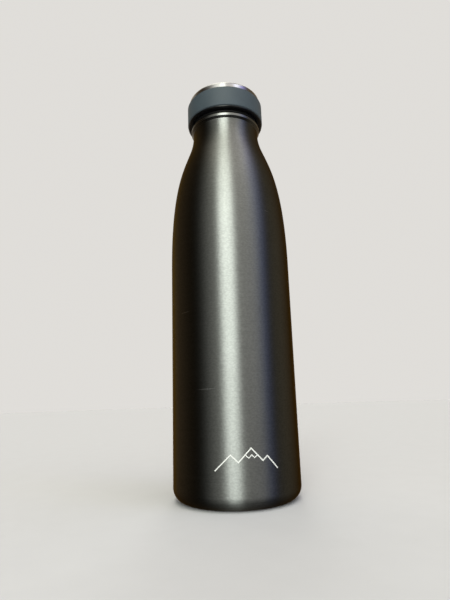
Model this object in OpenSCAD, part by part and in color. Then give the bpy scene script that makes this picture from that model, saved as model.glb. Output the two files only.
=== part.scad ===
// Insulated water bottle: a double-walled steel flask with a screw-in stopper.
// Z is the bottle's axis and the origin is the middle of its foot. Sizes in mm.

/* [Body] */
// Outside diameter of the straight wall
body_d = 67; // [60:0.5:80]
// Height at which the straight wall starts to taper
straight_h = 124; // [90:1:140]
// Outside diameter of the neck, just under the lip
neck_d = 39.4; // [34:0.1:44]
// Height at which the neck meets the lip
neck_h = 210.1; // [180:0.1:240]
// How far up the taper the wall keeps its straight direction
shoulder_pull = 67; // [50:1:90]
// How far below the lip the neck keeps its straight direction
neck_pull = 21; // [15:1:45]
// Thickness of the outer steel wall
shell_wall = 0.6; // [0.4:0.1:1]
// Radius of the rounded foot edge
foot_r = 7; // [2:0.5:8]

/* [Flask] */
// Vacuum gap between the straight walls
vacuum_gap = 2.4; // [1.5:0.1:5]
// Thickness of the inner steel wall
liner_wall = 0.5; // [0.3:0.1:1]
// Inside diameter of the mouth
mouth_d = 36; // [30:0.1:38]
// Height of the liner's floor above the foot
liner_floor = 9.8; // [9:0.1:14]
// Radius of the liner's rounded bottom edge
liner_r = 6; // [3:0.5:10]
// Height of the steel lip bead
lip_h = 3.5; // [2:0.1:5]
// Outside diameter of the steel lip bead
lip_d = 41.8; // [38:0.1:46]

/* [Stopper] */
// Outside diameter of the grip band
grip_d = 46; // [42:0.1:50]
// Height of the grip band
grip_h = 12.1; // [8:0.1:18]
// Outside diameter of the steel cap top
top_d = 45.2; // [40:0.1:50]
// Height of the steel cap top
top_h = 4.7; // [4:0.1:10]
// Radius of the steel cap top's rounded edge
top_r = 3; // [1:0.1:5]
// How far the steel cap top's edge leans in, in degrees
top_lean = 16; // [0:1:30]
// Gap between the lip and the underside of the stopper's flange
seal_gap = 1.6; // [1:0.1:3]
// Length of the plug below the flange
plug_len = 19.6; // [16:0.1:30]
// Thickness of the plug's plastic wall
plug_wall = 1.6; // [1:0.1:3]

/* [Thread] */
// Rise of the thread in one turn
pitch = 4; // [3:0.1:6]
// Turns of thread on the plug
plug_turns = 2.25; // [1:0.25:4]
// Turns of thread in the neck
neck_turns = 2; // [1:0.25:4]
// Width of a thread ridge at its root
root_w = 1.9; // [1:0.1:2.5]
// Width of a thread ridge at its crest
crest_w = 0.9; // [0.4:0.1:1.5]
// Height of a thread ridge
ridge_h = 1.05; // [0.6:0.05:1.4]

/* [Hidden] */
$fn = 96;
body_r = body_d / 2;
neck_r = neck_d / 2;
lip_r = lip_d / 2;
lip_z = neck_h + lip_h;
steps = 36;
// liner
liner_ro = body_r - shell_wall - vacuum_gap;
liner_ri = liner_ro - liner_wall;
mouth_r = mouth_d / 2;
liner_neck_r = mouth_r + liner_wall;
liner_weld_z = liner_floor + liner_r + 1.4;
liner_neck_z = neck_h - 5.1;
liner_top = lip_z - 0.6;
// bottom
foot_in = body_r - foot_r - 2;
base_z = 6.2;
skirt_top = 12;
hole_r = 1.2;
dimple_r = 4;
dimple_z = base_z - 0.8;
getter_x = 14;
getter_r = 4.3;
holder_r = 5;
// stopper
plug_r = mouth_r - 1.35;
plug_bore = plug_r - plug_wall;
collar_r = plug_r + 0.35;
flange_z = lip_z + seal_gap;
flange_r = grip_d / 2 - 0.25;
plug_z = flange_z - plug_len;
grip_z = flange_z + 1.3;
grip_top = grip_z + grip_h;
core_r = 20.9;
core_bore = core_r - 1.7;
boss_r = top_d / 2 - 1.2;
top_wall = 0.6;
top_z = grip_top + 0.1;
cap_z = top_z + top_h;
plate_z = cap_z - top_wall - 1.1;
// thread
thread_sink = 0.2;
plug_thread_z = flange_z - 13.4;
neck_thread_z = plug_thread_z + pitch / 2;
seg = 48;

// Points of a cubic curve that starts and ends parallel to Z.
function curve_at(t, r0, z0, a, r1, z1, b) =
    pow(1 - t, 3) * [r0, z0] + 3 * pow(1 - t, 2) * t * [r0, z0 + a]
    + 3 * (1 - t) * t * t * [r1, z1 - b] + pow(t, 3) * [r1, z1];

// Direction of travel along the same curve.
function slope_at(t, r0, z0, a, r1, z1, b) =
    3 * pow(1 - t, 2) * [0, a] + 6 * (1 - t) * t * [r1 - r0, z1 - b - z0 - a]
    + 3 * t * t * [0, b];

function curve(r0, z0, a, r1, z1, b, inset) = [for (i = [0 : steps])
    let (t = i / steps, d = slope_at(t, r0, z0, a, r1, z1, b))
    curve_at(t, r0, z0, a, r1, z1, b) - inset * [d[1], -d[0]] / norm(d)];

function arc(cx, cz, r, from, to, n) = [for (i = [0 : n])
    let (a = from + (to - from) * i / n) [cx + r * cos(a), cz + r * sin(a)]];

function back(list) = [for (i = [len(list) - 1 : -1 : 0]) list[i]];

function shell_curve(inset) =
    curve(body_r, straight_h, shoulder_pull, neck_r, neck_h, neck_pull, inset);

function liner_curve(inset) = curve(liner_ro, straight_h - 2, shoulder_pull - 2,
    liner_neck_r, liner_neck_z, neck_pull - 3, inset);

module revolve(points) rotate_extrude() polygon(points);

// One helical ridge. The root is sunk into a wall; out is 1 outwards and -1 inwards.
module ridge(wall_r, z0, turns, out) {
    n = round(turns * seg);
    fade = 6;
    function grow(i) = min(1, (min(i, n - i) + 0.5) / fade);
    function section(i) = let (
        a = 360 * i / seg, z = z0 + pitch * i / seg, g = grow(i),
        r0 = wall_r - out * thread_sink, r1 = wall_r + out * ridge_h * g,
        w0 = root_w / 2, w1 = crest_w / 2)
        [for (p = [[r0, -w0], [r1, -w1], [r1, w1], [r0, w0]])
            [p[0] * cos(a), p[0] * sin(a), z + p[1]]];
    points = [for (i = [0 : n], p = section(i)) p];
    sides = [for (i = [0 : n - 1], k = [0 : 3]) let (
        a = 4 * i + k, b = 4 * i + (k + 1) % 4, c = b + 4, d = a + 4)
        each (out > 0 ? [[a, b, c], [a, c, d]] : [[a, c, b], [a, d, c]])];
    ends = out > 0 ? [[3, 2, 1, 0], [for (k = [0 : 3]) 4 * n + k]]
                   : [[0, 1, 2, 3], [for (k = [3 : -1 : 0]) 4 * n + k]];
    polyhedron(points, concat(sides, ends), convexity = 6);
}

module outer_shell() {
    color([0.30, 0.29, 0.28])
    revolve(concat(
        [[foot_in, 1.6], [foot_in, 0.3], [foot_in + 0.3, 0]],
        arc(body_r - foot_r, foot_r, foot_r, -90, 0, 12),
        shell_curve(0),
        back(shell_curve(shell_wall)),
        arc(body_r - foot_r, foot_r, foot_r - shell_wall, 0, -90, 12),
        [[foot_in + shell_wall, shell_wall], [foot_in + shell_wall, 1.6]]));
}

module shell_base() {
    r = body_r - shell_wall;
    t = shell_wall;
    color([0.62, 0.62, 0.63])
    revolve([
        [hole_r, dimple_z], [dimple_r, dimple_z], [dimple_r + 1, base_z], [r - 1.2, base_z],
        [r, base_z + 1.2], [r, skirt_top], [r - t, skirt_top], [r - t, base_z + 1.5],
        [r - 1.5, base_z + t], [dimple_r + 0.7, base_z + t], [dimple_r - 0.3, dimple_z + t],
        [hole_r, dimple_z + t]]);
}

module base_cover() {
    r = foot_in - 0.05;
    t = shell_wall;
    color([0.66, 0.66, 0.67])
    revolve([
        [0, 1.5], [r - 6, 1.5], [r - 4.5, 0.9], [r - 0.6, 0.9], [r, 1.5], [r, 3.4], [r - t, 3.4],
        [r - t, 0.9 + t], [r - 4.3, 0.9 + t], [r - 5.8, 1.5 + t], [0, 1.5 + t]]);
}

module vacuum_seal() {
    bead_r = 2.6;
    bead_h = 0.9;
    color([0.45, 0.40, 0.30])
    revolve(concat(
        [for (i = [0 : 8]) [bead_r * sin(90 * i / 8), dimple_z - bead_h * cos(90 * i / 8)]],
        [[hole_r - 0.02, dimple_z], [hole_r - 0.02, dimple_z + 0.7], [0, dimple_z + 0.7]]));
}

module getter_holder() {
    z = base_z + shell_wall;
    color([0.70, 0.70, 0.72])
    translate([getter_x, 0, z]) difference() {
        cylinder(r = holder_r, h = 2);
        translate([0, 0, 0.5]) cylinder(r = getter_r + 0.1, h = 2);
    }
}

module getter() {
    color([0.35, 0.35, 0.37])
    translate([getter_x, 0, base_z + shell_wall + 0.55]) cylinder(r = getter_r, h = 1.3);
}

module radiation_foil() {
    color([0.72, 0.45, 0.30])
    translate([0, 0, liner_weld_z + 1]) difference() {
        cylinder(r = liner_ro + 0.25, h = straight_h - liner_weld_z - 6);
        translate([0, 0, -1]) cylinder(r = liner_ro + 0.12, h = straight_h);
    }
}

module inner_liner() {
    color([0.70, 0.70, 0.71]) {
        revolve(concat(
            [[liner_ro, liner_weld_z]], liner_curve(0), [[liner_neck_r, liner_top]],
            [[mouth_r, liner_top]], back(liner_curve(liner_wall)), [[liner_ri, liner_weld_z]]));
        ridge(mouth_r, neck_thread_z, neck_turns, -1);
    }
}

module liner_base() {
    color([0.68, 0.68, 0.69])
    revolve(concat(
        [[0, liner_floor]],
        arc(liner_ro - liner_r, liner_floor + liner_r, liner_r, -90, 0, 12),
        [[liner_ro, liner_weld_z], [liner_ri, liner_weld_z]],
        arc(liner_ro - liner_r, liner_floor + liner_r, liner_r - liner_wall, 0, -90, 12),
        [[0, liner_floor + liner_wall]]));
}

module lip_ring() {
    bulge = 1.1;
    collar_z = neck_h + 0.25;
    under_h = 0.31 * lip_h;
    color([0.78, 0.78, 0.80])
    revolve(concat(
        [[liner_neck_r, neck_h], [neck_r, neck_h], [neck_r, collar_z],
         [lip_r, collar_z + under_h]],
        arc(lip_r - bulge, lip_z - bulge, bulge, 0, 90, 10),
        [[mouth_r + 0.4, lip_z], [mouth_r, lip_z - 0.4], [mouth_r, liner_top],
         [liner_neck_r, liner_top]]));
}

module seal_ring() {
    r0 = collar_r + 0.08;
    r1 = lip_r - 0.6;
    z0 = lip_z + 0.3;
    z1 = flange_z - 0.08;
    color([0.05, 0.05, 0.05])
    revolve([[r0, z0], [r1 - 0.3, z0], [r1, z0 + 0.3], [r1, z1 - 0.2], [r1 - 0.2, z1], [r0, z1]]);
}

module threaded_plug() {
    color([0.07, 0.07, 0.07]) {
        revolve([
            [0, plug_z], [plug_r - 1, plug_z], [plug_r, plug_z + 1], [plug_r, lip_z - 1],
            [collar_r, lip_z - 0.6], [collar_r, flange_z + 1.7], [collar_r + 1.2, flange_z + 1.7],
            [collar_r + 1.2, flange_z + 3], [plug_bore, flange_z + 3],
            [plug_bore, plug_z + 1.4], [0, plug_z + 1.4]]);
        ridge(plug_r, plug_thread_z, plug_turns, 1);
    }
}

module plug_foam() {
    color([0.90, 0.88, 0.80])
    translate([0, 0, plug_z + 1.5])
    cylinder(r = plug_bore - 0.15, h = plate_z - 1.6 - plug_z - 1.5);
}

module cap_core() {
    color([0.06, 0.06, 0.06])
    revolve([
        [collar_r + 0.05, flange_z], [flange_r - 0.6, flange_z], [flange_r, flange_z + 0.6],
        [flange_r, grip_z - 0.1], [core_r, grip_z - 0.1], [core_r, grip_top],
        [boss_r, grip_top], [boss_r, grip_top + 1.2], [boss_r - 2.5, plate_z - 0.4],
        [boss_r - 2.5, plate_z], [0, plate_z], [0, plate_z - 1.4], [core_bore - 1.4, plate_z - 1.4],
        [core_bore, plate_z - 3], [core_bore, flange_z + 1.65],
        [collar_r + 0.05, flange_z + 1.65]]);
}

module grip_band() {
    r = grip_d / 2;
    color([0.36, 0.41, 0.43])
    revolve([
        [core_r + 0.05, grip_z], [r - 0.45, grip_z], [r, grip_z + 0.45], [r, grip_top - 0.4],
        [r - 0.4, grip_top], [core_r + 0.05, grip_top]]);
}

module cap_pad() {
    color([0.92, 0.92, 0.90])
    translate([0, 0, plate_z]) cylinder(r = 15, h = cap_z - top_wall - plate_z);
}

module cap_top() {
    r = top_d / 2;
    bend_z = cap_z - top_r;
    bend_r = r - (bend_z + top_r * sin(top_lean) - top_z) * tan(top_lean)
        - top_r * cos(top_lean);
    color([0.82, 0.82, 0.84])
    revolve(concat(
        [[r - top_wall / cos(top_lean), top_z], [r, top_z]],
        arc(bend_r, bend_z, top_r, top_lean, 90, 12),
        [[0, cap_z], [0, cap_z - top_wall]],
        arc(bend_r, bend_z, top_r - top_wall, 90, top_lean, 12)));
}

outer_shell();
shell_base();
base_cover();
vacuum_seal();
getter_holder();
getter();
radiation_foil();
inner_liner();
liner_base();
lip_ring();
seal_ring();
threaded_plug();
plug_foam();
cap_core();
grip_band();
cap_pad();
cap_top();
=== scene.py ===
"""Looks of the insulated water bottle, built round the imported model. Metres, Z up.

Sizes of the bottle are in millimetres until a mesh is made. Azimuths are in degrees round
the bottle's axis: 0 is towards -Y, where the print and the camera are, and 90 is towards +X.
"""
import math

import bpy
from mathutils import Matrix, Vector


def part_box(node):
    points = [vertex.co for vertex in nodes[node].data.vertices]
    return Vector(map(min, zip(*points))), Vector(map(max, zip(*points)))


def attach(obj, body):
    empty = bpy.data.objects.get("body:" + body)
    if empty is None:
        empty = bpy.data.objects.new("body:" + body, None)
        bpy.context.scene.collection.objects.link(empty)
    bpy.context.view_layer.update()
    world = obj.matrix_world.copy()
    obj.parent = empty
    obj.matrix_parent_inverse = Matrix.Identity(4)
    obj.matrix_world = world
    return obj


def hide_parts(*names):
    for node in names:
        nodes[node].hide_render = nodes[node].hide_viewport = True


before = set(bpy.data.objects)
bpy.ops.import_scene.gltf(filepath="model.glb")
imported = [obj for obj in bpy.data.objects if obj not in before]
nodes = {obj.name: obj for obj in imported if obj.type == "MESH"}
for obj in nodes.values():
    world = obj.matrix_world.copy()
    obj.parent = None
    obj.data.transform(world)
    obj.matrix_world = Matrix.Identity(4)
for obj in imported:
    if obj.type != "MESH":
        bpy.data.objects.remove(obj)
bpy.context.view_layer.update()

MM = 0.001


# ---------------------------------------------------------------- sizes
def size(node_name):
    """Outer radius, lowest point and highest point of a round CAD node, in millimetres."""
    low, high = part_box(node_name)
    return round(high.x / MM, 2), round(low.z / MM, 2), round(high.z / MM, 2)


BODY_R, _, NECK_Z = size("outer_shell")
COVER_R, COVER_Z, COVER_TOP = size("base_cover")
LIP_R, _, LIP_TOP = size("lip_ring")
SEAL_R, SEAL_Z, SEAL_TOP = size("seal_ring")
FLANGE_R, FLANGE_Z, PLATE_Z = size("cap_core")
GRIP_R, GRIP_Z, GRIP_TOP = size("grip_band")
CAP_R, CAP_Z, CAP_TOP = size("cap_top")

WALL = 0.6            # steel sheet of the shell, the foot disc and the cap disc
FOOT_R = 7.0          # rounded edge of the foot
FOOT_IN = 24.5        # inside of the foot ring
RIM_Z = 1.6           # height of the foot ring's inner rim
STRAIGHT_H = 124      # height where the straight wall starts to taper
SHOULDER_PULL = 67    # how strongly the taper keeps to the straight wall's direction
NECK_R = 19.7         # neck, just under the lip
NECK_PULL = 21        # how strongly the taper keeps to the neck's direction
MOUTH_R = 18.0        # inside of the mouth
LINER = 0.5           # sheet of the inner wall
LIP_COLLAR = 0.25     # short collar under the lip bead
LIP_UNDER = 1.09      # height of the bead's sloping underside
COLLAR_R = 17.05      # hole in the flange, round the plug
CORE_R = 20.9         # black body inside the grip band
CORE_BORE = 19.2      # inside of that body
BOSS_R = CAP_R - 1.2  # step that the cap disc sits round
CAP_BEND = 3.0        # rounding of the cap disc's upper edge
CAP_LEAN = 16.0       # how far the cap disc's edge leans in, in degrees


# ---------------------------------------------------------------- geometry
def shoulder(inset, steps=90):
    """The tapering wall, moved in by the inset: a cubic that starts and ends parallel to Z."""
    heights = (STRAIGHT_H, STRAIGHT_H + SHOULDER_PULL, NECK_Z - NECK_PULL, NECK_Z)
    control = list(zip((BODY_R, BODY_R, NECK_R, NECK_R), heights))
    out = []
    for i in range(steps + 1):
        t = i / steps
        u = 1 - t
        place = (u ** 3, 3 * u * u * t, 3 * u * t * t, t ** 3)
        travel = (-3 * u * u, 3 * u * u - 6 * u * t, 6 * u * t - 3 * t * t, 3 * t * t)
        r, z = (sum(w * p[k] for w, p in zip(place, control)) for k in (0, 1))
        dr, dz = (sum(w * p[k] for w, p in zip(travel, control)) for k in (0, 1))
        length = math.hypot(dr, dz)
        normal_r, normal_z = dz / length, -dr / length
        out.append((r - inset * normal_r, z - inset * normal_z))
    return out


def arc(centre_r, centre_z, radius, start, end, steps):
    """Points of an arc between two angles in degrees: 0 is outwards and 90 is up."""
    angles = [math.radians(start + (end - start) * i / steps) for i in range(steps + 1)]
    return [(centre_r + radius * math.cos(a), centre_z + radius * math.sin(a)) for a in angles]


def rounded(corners, steps=6):
    """A closed outline from corners of (radius, height) or (radius, height, rounding)."""
    out = []
    count = len(corners)
    for i, (r, z, *rounding) in enumerate(corners):
        if not rounding:
            out.append((r, z))
            continue
        corner = Vector((r, z))
        before = Vector(corners[i - 1][:2]) - corner
        after = Vector(corners[(i + 1) % count][:2]) - corner
        to_before, to_after = before.normalized(), after.normalized()
        cut = rounding[0] / math.tan(to_before.angle(to_after) / 2)
        cut = min(cut, 0.49 * before.length, 0.49 * after.length)
        start, end = corner + to_before * cut, corner + to_after * cut
        for k in range(steps + 1):
            t = k / steps
            point = start * (1 - t) ** 2 + corner * 2 * t * (1 - t) + end * t * t
            out.append((point.x, point.y))
    return out


def mesh_object(name, verts, faces, sharp=35):
    """A smooth object, crisp at edges that turn by more than sharp degrees."""
    mesh = bpy.data.meshes.new(name)
    mesh.from_pydata(verts, [], faces)
    mesh.validate()
    obj = bpy.data.objects.new(name, mesh)
    bpy.context.scene.collection.objects.link(obj)
    mesh.polygons.foreach_set("use_smooth", [True] * len(mesh.polygons))
    mesh.set_sharp_from_angle(angle=math.radians(sharp))
    return obj


def lathe(name, outline, segments):
    """A solid of revolution from a closed outline of (radius, height)."""
    points = []
    for p in outline:
        if not points or math.dist(p, points[-1]) > 1e-4:
            points.append(p)
    if math.dist(points[0], points[-1]) < 1e-4:
        points.pop()
    turns = [2 * math.pi * k / segments for k in range(segments)]
    verts, rings = [], []
    for r, z in points:
        if r < 1e-6:
            rings.append([len(verts)] * segments)
            verts.append((0, 0, z * MM))
        else:
            rings.append([len(verts) + k for k in range(segments)])
            verts += [(r * MM * math.cos(a), r * MM * math.sin(a), z * MM) for a in turns]
    faces = []
    for low, high in zip(rings, rings[1:] + rings[:1]):
        for k in range(segments):
            m = (k + 1) % segments
            quad = [low[k], low[m], high[m], high[k]]
            face = [v for j, v in enumerate(quad) if v not in quad[:j]]
            if len(face) > 2:
                faces.append(face)
    return mesh_object(name, verts, faces)


# ---------------------------------------------------------------- node trees
class Nodes:
    """Short ways to add nodes to one node tree. Values are numbers, tuples or sockets."""

    def __init__(self, tree):
        self.tree = tree

    def node(self, kind, **settings):
        new = self.tree.nodes.new(kind)
        for key, value in settings.items():
            setattr(new, key, value)
        return new

    def put(self, value, socket):
        """Links a socket's value, or sets a plain one."""
        if hasattr(value, "default_value"):
            self.tree.links.new(value, socket)
        else:
            socket.default_value = value

    def math(self, operation, *values):
        new = self.node("ShaderNodeMath", operation=operation)
        for value, socket in zip(values, new.inputs):
            self.put(value, socket)
        return new.outputs[0]

    def vector(self, operation, a, b):
        new = self.node("ShaderNodeVectorMath", operation=operation)
        self.put(a, new.inputs[0])
        self.put(b, new.inputs["Scale" if operation == "SCALE" else 1])
        return new.outputs[0]

    def remap(self, source, low, high, out_low, out_high, kind="LINEAR"):
        """Maps low..high to out_low..out_high and stops at both ends."""
        new = self.node("ShaderNodeMapRange", interpolation_type=kind)
        for value, socket in zip((source, low, high, out_low, out_high), new.inputs):
            self.put(value, socket)
        return new.outputs["Result"]


class Mat(Nodes):
    """A material round one Principled shader, patterned in the object's own metres."""

    def __init__(self, name, base, rough, **sockets):
        self.mat = bpy.data.materials.new(name)
        self.mat.use_nodes = True
        super().__init__(self.mat.node_tree)
        self.shader = self.tree.nodes["Principled BSDF"]
        self.normal = None
        self.set("Base Color", (*base, 1))
        self.set("Roughness", rough)
        for key, value in sockets.items():
            self.set(key.replace("_", " "), value)

    def set(self, key, value):
        self.put(value, self.shader.inputs[key])

    def noise(self, scale, detail, rough, vector=None):
        """Noise with this many features in a metre, unless it is given another vector."""
        if vector is None:
            vector = self.node("ShaderNodeTexCoord").outputs["Object"]
        new = self.node("ShaderNodeTexNoise")
        for key, value in (("Vector", vector), ("Scale", scale), ("Detail", detail),
                           ("Roughness", rough)):
            self.put(value, new.inputs[key])
        return new.outputs["Fac"]

    def spread(self, noise, out_low, out_high):
        """Maps the range that most noise stays in to out_low..out_high."""
        return self.remap(noise, 0.3, 0.7, out_low, out_high)

    def polar(self):
        """Sockets of x, y, z, distance from the axis, and azimuth in radians."""
        split = self.node("ShaderNodeSeparateXYZ")
        self.put(self.node("ShaderNodeTexCoord").outputs["Object"], split.inputs[0])
        x, y, z = split.outputs
        squares = self.math("ADD", self.math("MULTIPLY", x, x), self.math("MULTIPLY", y, y))
        azimuth = self.math("ARCTAN2", x, self.math("MULTIPLY", y, -1.0))
        return x, y, z, self.math("SQRT", squares), azimuth

    def rings(self, across, along, detail, rough):
        """Noise drawn out round the axis: features per metre across the lines and along them."""
        x, y, z, r, _ = self.polar()
        join = self.node("ShaderNodeCombineXYZ")
        self.put(self.math("MULTIPLY", x, along), join.inputs[0])
        self.put(self.math("MULTIPLY", y, along), join.inputs[1])
        self.put(self.math("MULTIPLY", self.math("ADD", z, r), across), join.inputs[2])
        return self.noise(1.0, detail, rough, join.outputs[0])

    def hairline(self, azimuth, height, length, slope, width):
        """Mask of one scratch round the wall. HAIRLINES says what the numbers are."""
        _, _, z, _, angle = self.polar()
        off = self.math("SUBTRACT", self.math("MULTIPLY", angle, 180 / math.pi), azimuth)
        up = self.math("SUBTRACT", self.math("MULTIPLY", z, 1 / MM), height)
        middle = self.math("MULTIPLY", off, slope)
        across = self.math("ABSOLUTE", self.math("SUBTRACT", up, middle))
        thin = self.remap(across, width, width * 0.3, 0, 1)
        ends = self.remap(self.math("ABSOLUTE", off), length / 2, length / 4, 0, 1)
        return self.math("MULTIPLY", thin, ends)

    def mix(self, share, a, b):
        """Mixes two colours, each a tuple or a socket."""
        new = self.node("ShaderNodeMix", data_type="RGBA")
        self.put(share, new.inputs["Factor"])
        for key, colour in (("A", a), ("B", b)):
            socket = [s for s in new.inputs if s.name == key and s.type == "RGBA"][0]
            self.put((*colour, 1) if isinstance(colour, tuple) else colour, socket)
        return [s for s in new.outputs if s.type == "RGBA"][0]

    def bump(self, source, height):
        """Adds a bump whose full swing is height, in metres."""
        new = self.node("ShaderNodeBump")
        self.put(1.0, new.inputs["Strength"])
        self.put(height, new.inputs["Distance"])
        self.put(source, new.inputs["Height"])
        if self.normal is not None:
            self.put(self.normal, new.inputs["Normal"])
        self.normal = new.outputs["Normal"]
        self.set("Normal", self.normal)

    def round_grain(self, amount):
        """Gloss of a surface brushed round the Z axis: highlights stretch along the axis."""
        tangent = self.node("ShaderNodeTangent", direction_type="RADIAL", axis="Z")
        self.set("Tangent", tangent.outputs["Tangent"])
        self.set("Anisotropic", amount)
        self.set("Anisotropic Rotation", 0.25)


def scaled(base, factor):
    return tuple(min(1.0, c * factor) for c in base)


# ---------------------------------------------------------------- materials
SCRATCH = (0.8, 0.8, 0.8)  # bare metal


def brushed(name, base, rough, grain, across=2600, along=45, depth=1.2e-6, tone=0.10,
            tint=None, hairlines=(), flecks=0.0):
    """Sheet steel with fine brushing round the Z axis, and short brushed flecks if asked."""
    m = Mat(name, base, rough, Metallic=1.0)
    m.round_grain(grain)
    if tint:
        m.set("Specular Tint", (*tint, 1))
    fine = m.rings(across, along, 4, 0.7)
    coarse = m.rings(across / 5, along / 2, 3, 0.6)
    cloud = m.noise(35, 3, 0.55)
    both = m.math("ADD", m.math("MULTIPLY", fine, 0.65), m.math("MULTIPLY", coarse, 0.35))
    colour = m.mix(m.spread(both, 0, 1), scaled(base, 1 - tone), scaled(base, 1 + tone))
    gloss = m.math("ADD", m.spread(both, rough - 0.05, rough + 0.05),
                   m.spread(cloud, -0.015, 0.015))
    if flecks:
        short = m.rings(across / 2.4, across / 4, 2, 0.6)
        colour = m.mix(m.remap(short, 0.35, 0.65, 0, flecks), colour, scaled(base, 1.9))
        m.bump(short, 2.0e-5)
    for place in hairlines:
        mask = m.hairline(*place)
        colour = m.mix(mask, colour, SCRATCH)
        gloss = m.math("ADD", gloss, m.math("MULTIPLY", mask, 0.25))
    m.set("Base Color", colour)
    m.set("Roughness", gloss)
    m.bump(both, depth)
    return m


def moulded(name, base, rough, grain=2500, depth=6e-6, tone=0.12, **sockets):
    """Plastic, rubber, foam or dull metal with a fine grain and slight cloudiness."""
    m = Mat(name, base, rough, **sockets)
    fine = m.noise(grain, 3, 0.6)
    cloud = m.noise(60, 4, 0.6)
    m.set("Base Color", m.mix(m.spread(cloud, 0, 1),
                              scaled(base, 1 - tone), scaled(base, 1 + tone)))
    m.set("Roughness", m.math("ADD", m.spread(cloud, rough - 0.04, rough + 0.04),
                              m.spread(fine, -0.04, 0.04)))
    m.bump(fine, depth)
    return m


# azimuth (-180 to 180), height, length in degrees, rise in mm a degree, half-width in mm
HAIRLINES = [
    (-45.6, 95.4, 13, 0.03, 0.10), (-24.5, 56.0, 18, 0.01, 0.10), (39, 149, 6, -0.1, 0.06),
    (120, 60, 9, 0.05, 0.08), (165, 101, 7, 0.12, 0.07),
]

body_steel = brushed("lacquered_steel", (0.170, 0.172, 0.166), 0.36, 0.9, across=3200, along=60,
                     tint=(0.36, 0.27, 0.15), hairlines=HAIRLINES, flecks=0.24)
plain_steel = brushed("plain_steel", (0.55, 0.55, 0.56), 0.33, 0.5)
base_steel = brushed("base_steel", (0.42, 0.42, 0.42), 0.36, 0.6, across=1800)
liner_steel = brushed("liner_steel", (0.60, 0.60, 0.60), 0.25, 0.6, across=1500, tone=0.05)
lip_steel = brushed("polished_steel", (0.21, 0.21, 0.205), 0.27, 0.4, across=1800, tone=0.05)
cap_steel = brushed("cap_steel", (0.27, 0.27, 0.28), 0.18, 0.4, across=2200, tone=0.05)

grey_silicone = moulded("grey_silicone", (0.0365, 0.0535, 0.067), 0.62, Sheen_Weight=0.05)
black_gloss = moulded("black_gloss_plastic", (0.004, 0.004, 0.0045), 0.14, depth=1e-6,
                      Specular_IOR_Level=0.28)
black_plastic = moulded("black_plastic", (0.018, 0.018, 0.019), 0.42)
black_silicone = moulded("black_silicone", (0.005, 0.005, 0.005), 0.6, Specular_IOR_Level=0.2)
foam = moulded("foam", (0.75, 0.72, 0.62), 0.9, grain=1500, depth=8e-5, tone=0.06)
pad_foam = moulded("adhesive_foam", (0.8, 0.8, 0.77), 0.85, grain=2000, depth=4e-5, tone=0.05)
solder = moulded("solder", (0.35, 0.31, 0.24), 0.45, grain=900, depth=3e-5, Metallic=1.0)
pellet = moulded("getter_metal", (0.22, 0.22, 0.23), 0.75, grain=3000, depth=2e-5, Metallic=1.0)
foil = moulded("foil", (0.80, 0.48, 0.34), 0.28, grain=260, depth=6e-5, tone=0.05, Metallic=1.0)
ink = moulded("white_ink", (0.72, 0.72, 0.70), 0.55, depth=2e-6, tone=0.04)
paper = moulded("floor_paper", (0.595, 0.59, 0.615), 0.9, grain=400, depth=5e-6, tone=0.01,
                Specular_IOR_Level=0.0)

# CAD nodes that are shown as they are
BY_NODE = {
    "shell_base": plain_steel, "vacuum_seal": solder, "getter_holder": plain_steel,
    "getter": pellet, "radiation_foil": foil, "inner_liner": liner_steel,
    "liner_base": liner_steel, "threaded_plug": black_plastic, "plug_foam": foam,
    "cap_pad": pad_foam,
}
for node_name, material in BY_NODE.items():
    for material_slot in nodes[node_name].material_slots:
        material_slot.material = material.mat


# ---------------------------------------------------------------- pieces
def shell_outline():
    """Foot ring, rounded foot, straight wall, shoulder and neck, and back down inside."""
    foot_r = BODY_R - FOOT_R
    return ([(FOOT_IN, RIM_Z), (FOOT_IN, 0.35), (FOOT_IN + 0.1, 0.1), (FOOT_IN + 0.35, 0.0)]
            + arc(foot_r, FOOT_R, FOOT_R, -90, 0, 20)
            + [(BODY_R, z) for z in range(12, STRAIGHT_H, 8)]
            + shoulder(0) + shoulder(WALL)[::-1]
            + arc(foot_r, FOOT_R, FOOT_R - WALL, 0, -90, 10)
            + [(FOOT_IN + WALL, WALL), (FOOT_IN + WALL, RIM_Z)])


def cover_outline():
    """A disc that is raised in its middle, with a turned-up edge."""
    middle_z = COVER_Z + 0.6
    return rounded([
        (0, middle_z), (COVER_R - 6, middle_z, 0.8), (COVER_R - 4.5, COVER_Z, 0.8),
        (COVER_R - 0.6, COVER_Z, 0.3), (COVER_R, COVER_Z + 0.6, 0.3), (COVER_R, COVER_TOP),
        (COVER_R - WALL, COVER_TOP), (COVER_R - WALL, COVER_Z + WALL),
        (COVER_R - 4.3, COVER_Z + WALL, 0.6), (COVER_R - 5.8, middle_z + WALL, 0.6),
        (0, middle_z + WALL)])


def lip_outline():
    """The rounded bead on its short collar."""
    collar_z = NECK_Z + LIP_COLLAR
    return rounded([
        (MOUTH_R + LINER, NECK_Z), (NECK_R, NECK_Z), (NECK_R, collar_z, 0.1),
        (LIP_R, collar_z + LIP_UNDER, 0.3), (LIP_R, LIP_TOP, 1.1),
        (MOUTH_R + 0.4, LIP_TOP, 0.3), (MOUTH_R, LIP_TOP - 0.4, 0.3), (MOUTH_R, LIP_TOP - 0.6),
        (MOUTH_R + LINER, LIP_TOP - 0.6)])


def seal_outline():
    inside = COLLAR_R + 0.03
    return rounded([(inside, SEAL_Z, 0.1), (SEAL_R, SEAL_Z, 0.4), (SEAL_R, SEAL_TOP, 0.25),
                    (inside, SEAL_TOP, 0.1)])


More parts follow.
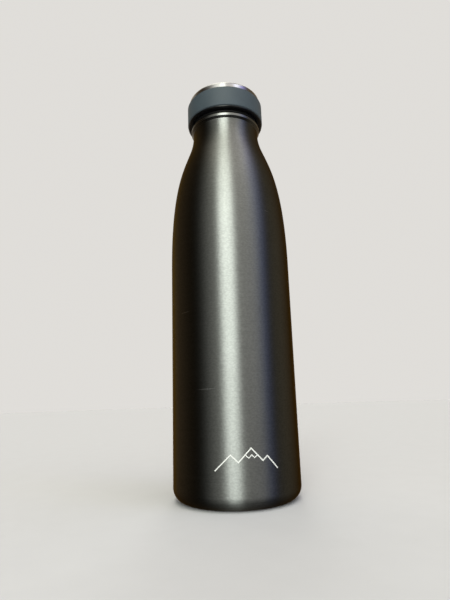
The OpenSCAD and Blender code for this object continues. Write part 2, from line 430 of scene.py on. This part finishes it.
def carrier_outline():
    """The flange, the body under the grip band, the step and the closed top."""
    ledge_z, plate_under, floor_top = GRIP_Z - 0.1, PLATE_Z - 1.4, FLANGE_Z + 1.65
    return rounded([
        (COLLAR_R, FLANGE_Z), (FLANGE_R - 0.6, FLANGE_Z, 0.3), (FLANGE_R, FLANGE_Z + 0.6, 0.3),
        (FLANGE_R, ledge_z, 0.2), (CORE_R, ledge_z), (CORE_R, GRIP_TOP), (BOSS_R, GRIP_TOP),
        (BOSS_R, GRIP_TOP + 1.2, 0.2), (BOSS_R - 2.5, PLATE_Z - 0.4, 0.2),
        (BOSS_R - 2.5, PLATE_Z, 0.2), (0, PLATE_Z), (0, plate_under),
        (CORE_BORE - 1.4, plate_under, 0.4), (CORE_BORE, PLATE_Z - 3, 0.4),
        (CORE_BORE, floor_top), (COLLAR_R, floor_top)])


def grip_outline():
    inside = CORE_R + 0.05
    return rounded([
        (inside, GRIP_Z), (GRIP_R - 0.45, GRIP_Z, 0.12), (GRIP_R, GRIP_Z + 0.45, 0.15),
        (GRIP_R, GRIP_TOP - 0.35, 0.3), (GRIP_R - 0.35, GRIP_TOP, 0.3), (inside, GRIP_TOP)])


def cap_outline():
    """A pressed disc whose edge leans in and bends over into the flat top."""
    lean = math.radians(CAP_LEAN)
    bend_z = CAP_TOP - CAP_BEND
    edge_h = bend_z + CAP_BEND * math.sin(lean) - CAP_Z
    bend_r = CAP_R - edge_h * math.tan(lean) - CAP_BEND * math.cos(lean)
    under_z = CAP_TOP - WALL
    return ([(CAP_R - WALL / math.cos(lean), CAP_Z), (CAP_R - 0.1, CAP_Z),
             (CAP_R - 0.03, CAP_Z + 0.1)]
            + arc(bend_r, bend_z, CAP_BEND, CAP_LEAN, 90, 16)
            + [(12, CAP_TOP), (6, CAP_TOP), (0, CAP_TOP), (0, under_z), (12, under_z)]
            + arc(bend_r, bend_z, CAP_BEND - WALL, 90, CAP_LEAN, 10))


def turned(name, outline, material, body, node_name, segments=192):
    """A lathed piece that stands in for a CAD node."""
    obj = lathe(name, outline, segments)
    obj.data.materials.append(material.mat)
    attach(obj, body)
    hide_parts(node_name)


turned("bottle_shell", shell_outline(), body_steel, "bottle", "outer_shell",
       segments=256)
turned("foot_disc", cover_outline(), base_steel, "bottle", "base_cover")
turned("mouth_lip", lip_outline(), lip_steel, "bottle", "lip_ring")
turned("mouth_seal", seal_outline(), black_silicone, "seal", "seal_ring")
turned("cap_carrier", carrier_outline(), black_gloss, "stopper", "cap_core")
turned("grip_ring", grip_outline(), grey_silicone, "stopper", "grip_band")
turned("cap_disc", cap_outline(), cap_steel, "stopper", "cap_top")

# ---------------------------------------------------------------- print on the body
INK_LIFT = 0.004   # gap between the print and the steel
INK_THICK = 0.035
INK_STEP = 0.8     # about the longest step of a printed line, so that it bends with the wall
PRINT_AT = 8       # azimuth of the print

# points in mm round the wall and mm up, and the width of the line
RIDGE = [([(-15, 18.6), (-7.4, 25.6), (-3.8, 22.2), (2.4, 28.4), (8.0, 22.6), (10.4, 24.6),
           (16, 18.6)], 0.55),
         ([(-0.3, 25.2), (1.2, 24.0), (2.6, 25.4), (3.9, 24.1), (5.2, 25.1)], 0.4)]


def on_wall(around, up, depth):
    """A point of the straight wall, lifted off it by the depth."""
    angle = around / BODY_R + math.radians(PRINT_AT)
    r = BODY_R + depth
    return r * MM * math.sin(angle), -r * MM * math.cos(angle), up * MM


def in_steps(points):
    """The same path, divided into short steps."""
    path = []
    for p, q in zip(points, points[1:]):
        count = max(1, round(math.dist(p, q) / INK_STEP))
        path += [Vector(p).lerp(Vector(q), k / count) for k in range(count)]
    return path + [Vector(points[-1])]


def printed(name, lines):
    """Printed lines on the straight wall, each a thin ribbon with mitred corners."""
    verts, faces = [], []
    for points, width in lines:
        path = in_steps(points)
        first = len(verts)
        for i, p in enumerate(path):
            before = (p - path[i - 1]).normalized() if i else (path[1] - p).normalized()
            after = (path[i + 1] - p).normalized() if i + 1 < len(path) else before
            along = (before + after).normalized()
            side = Vector((-along.y, along.x))
            reach = width / 2 / max(0.5, side.dot(Vector((-before.y, before.x))))
            for edge, depth in ((-reach, INK_LIFT), (reach, INK_LIFT),
                                (reach, INK_LIFT + INK_THICK), (-reach, INK_LIFT + INK_THICK)):
                verts.append(on_wall(*(p + side * edge), depth))
        last = len(verts) - 4
        for k in range(first, last, 4):
            for c in range(4):
                d = (c + 1) % 4
                faces.append([k + c, k + d, k + 4 + d, k + 4 + c])
        faces.append([first + 3, first + 2, first + 1, first])
        faces.append([last, last + 1, last + 2, last + 3])
    return mesh_object(name, verts, faces, sharp=30)


mark = printed("ridge_mark", RIDGE)
mark.data.materials.append(ink.mat)
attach(mark, "bottle")

# ---------------------------------------------------------------- floor
bpy.ops.mesh.primitive_circle_add(vertices=96, radius=3.0, fill_type="NGON", location=(0, 0, 0))
floor = bpy.context.object
floor.name = "floor"
floor.data.materials.append(paper.mat)
floor.visible_glossy = False

# ---------------------------------------------------------------- light
# All the light is in the world. The height of a direction is its z: 0 is level and 1 is
# straight up. The panels are weaker at LOW, and reach their full strength at HIGH.
LOW, HIGH = -0.20, 0.30

world = bpy.data.worlds.new("studio")
bpy.context.scene.world = world
world.use_nodes = True
world.node_tree.nodes.clear()
sky = Nodes(world.node_tree)

direction = sky.node("ShaderNodeSeparateXYZ")
sky.put(sky.node("ShaderNodeTexCoord").outputs["Generated"], direction.inputs[0])
to_right, to_back, height = direction.outputs
azimuth = sky.math("ARCTAN2", to_right, sky.math("MULTIPLY", to_back, -1.0))


def by_height(low, high, out_low, out_high):
    """A smooth step from out_low to out_high between two heights."""
    return sky.remap(height, low, high, out_low, out_high, "SMOOTHSTEP")


def dimmed(light, factor):
    return sky.vector("SCALE", light, factor)


def sum_of(lights):
    total = lights[0]
    for light in lights[1:]:
        total = sky.vector("ADD", total, light)
    return total


def fading(colour, powered):
    """A colour that is full where the powered distance is 0, and about a third where it is 1."""
    return dimmed(colour, sky.math("EXPONENT", sky.math("MULTIPLY", powered, -1.0)))


def panel(centre, width, power, colour, lean=1.0):
    """A soft upright panel. The higher the power, the sharper are its edges.

    One that leans draws in towards the front as it nears the ground, to this share.
    """
    angle = azimuth
    if lean < 1:
        angle = sky.math("DIVIDE", azimuth, by_height(LOW, HIGH, lean, 1.0))
    off = sky.math("SUBTRACT", angle, math.radians(centre))
    wrapped = sky.math("WRAP", off, math.pi, -math.pi)
    distance = sky.math("ABSOLUTE", sky.math("DIVIDE", wrapped, math.radians(width)))
    return fading(colour, sky.math("POWER", distance, power))


def overhead(middle, width, colour, low=0.85):
    """A soft patch close to overhead, at one place from left to right."""
    distance = sky.math("DIVIDE", sky.math("SUBTRACT", to_right, middle), width)
    patch = fading(colour, sky.math("MULTIPLY", distance, distance))
    return dimmed(patch, by_height(low, low + 0.08, 0.0, 1.0))


# azimuth, half-width, edge power, colour, lean, share left at LOW and high up, height
# below which it ends
PANELS = [
    (-5.2, 15.7, 4.0, (7.1, 7.6, 7.2), 0.70, 0.26, 0.42, -0.70),      # key
    (33.5, 27.5, 4.0, (1.12, 1.13, 1.09), 0.92, 0.26, 0.60, -0.70),   # broad fill on the right
    (-28, 25, 2.4, (0.60, 0.61, 0.57), 0.93, 0.56, 1.00, -0.70),      # weak fill on the left
    (65, 11, 2.0, (0.13, 0.19, 0.46), 0.93, 0.22, 2.3, -0.60),        # cool strip
    (100, 31, 2.0, (0.13, 0.125, 0.10), 0.93, 0.60, 1.0, -0.60),      # dim panel on the right
    (180, 11, 2.6, (3.0, 3.1, 3.0), 1.0, 0.20, 0.75, -0.30),          # key behind
    (214, 16, 3.0, (0.34, 0.35, 0.34), 1.0, 0.40, 0.75, -0.30),       # fill behind
]


def upright_panels():
    """All the panels together, a little warmer high up."""
    panels = []
    for centre, width, power, colour, lean, low_share, high_share, end in PANELS:
        light = panel(centre, width, power, colour, lean)
        light = dimmed(light, by_height(LOW, HIGH, low_share, 1.0))
        light = dimmed(light, by_height(end - 0.14, end + 0.14, 0.01, 1.0))
        light = dimmed(light, by_height(0.40, 0.85, 1.0, high_share))
        panels.append(light)
    warmth = sky.node("ShaderNodeCombineXYZ")
    sky.put(1.0, warmth.inputs[0])
    sky.put(by_height(0.3, 0.7, 1.0, 0.985), warmth.inputs[1])
    sky.put(by_height(0.3, 0.7, 1.0, 0.91), warmth.inputs[2])
    return sky.vector("MULTIPLY", sum_of(panels), warmth.outputs[0])


def ceiling():
    return dimmed(panel(45, 50, 4.0, (0.96, 0.88, 0.80)), by_height(0.55, 0.90, 0.0, 1.0))


def warm_surround():
    """Dim brown light from behind, which fades towards the camera and towards the ground."""
    half = sky.math("MULTIPLY", sky.math("ABSOLUTE", azimuth), 0.5)
    behind = sky.math("POWER", sky.math("SINE", half), 5.5)
    return dimmed(dimmed((0.30, 0.215, 0.125), behind), by_height(-0.8, 0.0, 0.3, 1.0))


studio = sum_of([
    upright_panels(), ceiling(), warm_surround(),
    overhead(0.0, 2.0, (0.30, 0.28, 0.26)),              # all over
    overhead(-0.18, 0.16, (2.1, 2.1, 1.85)),             # left patch
    overhead(0.375, 0.075, (2.6, 2.6, 2.5)),             # right patch
    overhead(0.48, 0.045, (0.1, 0.15, 1.5), low=0.82),   # blue edge of the right patch
])

lighting = sky.node("ShaderNodeBackground")
sky.put(studio, lighting.inputs["Color"])
backdrop = sky.node("ShaderNodeBackground")
sky.put((0.745, 0.727, 0.697, 1), backdrop.inputs["Color"])
choice = sky.node("ShaderNodeMixShader")
sky.put(sky.node("ShaderNodeLightPath").outputs["Is Camera Ray"], choice.inputs[0])
sky.tree.links.new(lighting.outputs[0], choice.inputs[1])
sky.tree.links.new(backdrop.outputs[0], choice.inputs[2])
sky.tree.links.new(choice.outputs[0], sky.node("ShaderNodeOutputWorld").inputs["Surface"])

bpy.context.scene.view_settings.view_transform = "Standard"

# ---------------------------------------------------------------- camera
CAMERA_AT = Vector((0, -0.25265, 0.05138))
PITCH, YAW, ROLL = math.radians(12.29), math.radians(-0.77), math.radians(1.78)
LENS, SENSOR = 27.06, 36
NEAREST, FARTHEST = 0.005, 50

forward = Vector((math.sin(YAW) * math.cos(PITCH), math.cos(YAW) * math.cos(PITCH),
                  math.sin(PITCH)))
level = Vector((math.cos(YAW), -math.sin(YAW), 0))
right = level * math.cos(ROLL) - level.cross(forward) * math.sin(ROLL)
up = right.cross(forward)

camera = bpy.data.objects.new("camera", bpy.data.cameras.new("camera"))
camera.data.lens = LENS
camera.data.sensor_width = SENSOR
camera.data.clip_start, camera.data.clip_end = NEAREST, FARTHEST
camera.matrix_world = (Matrix.Translation(CAMERA_AT)
                       @ Matrix((right, up, -forward)).transposed().to_4x4())
bpy.context.scene.collection.objects.link(camera)
bpy.context.scene.camera = camera
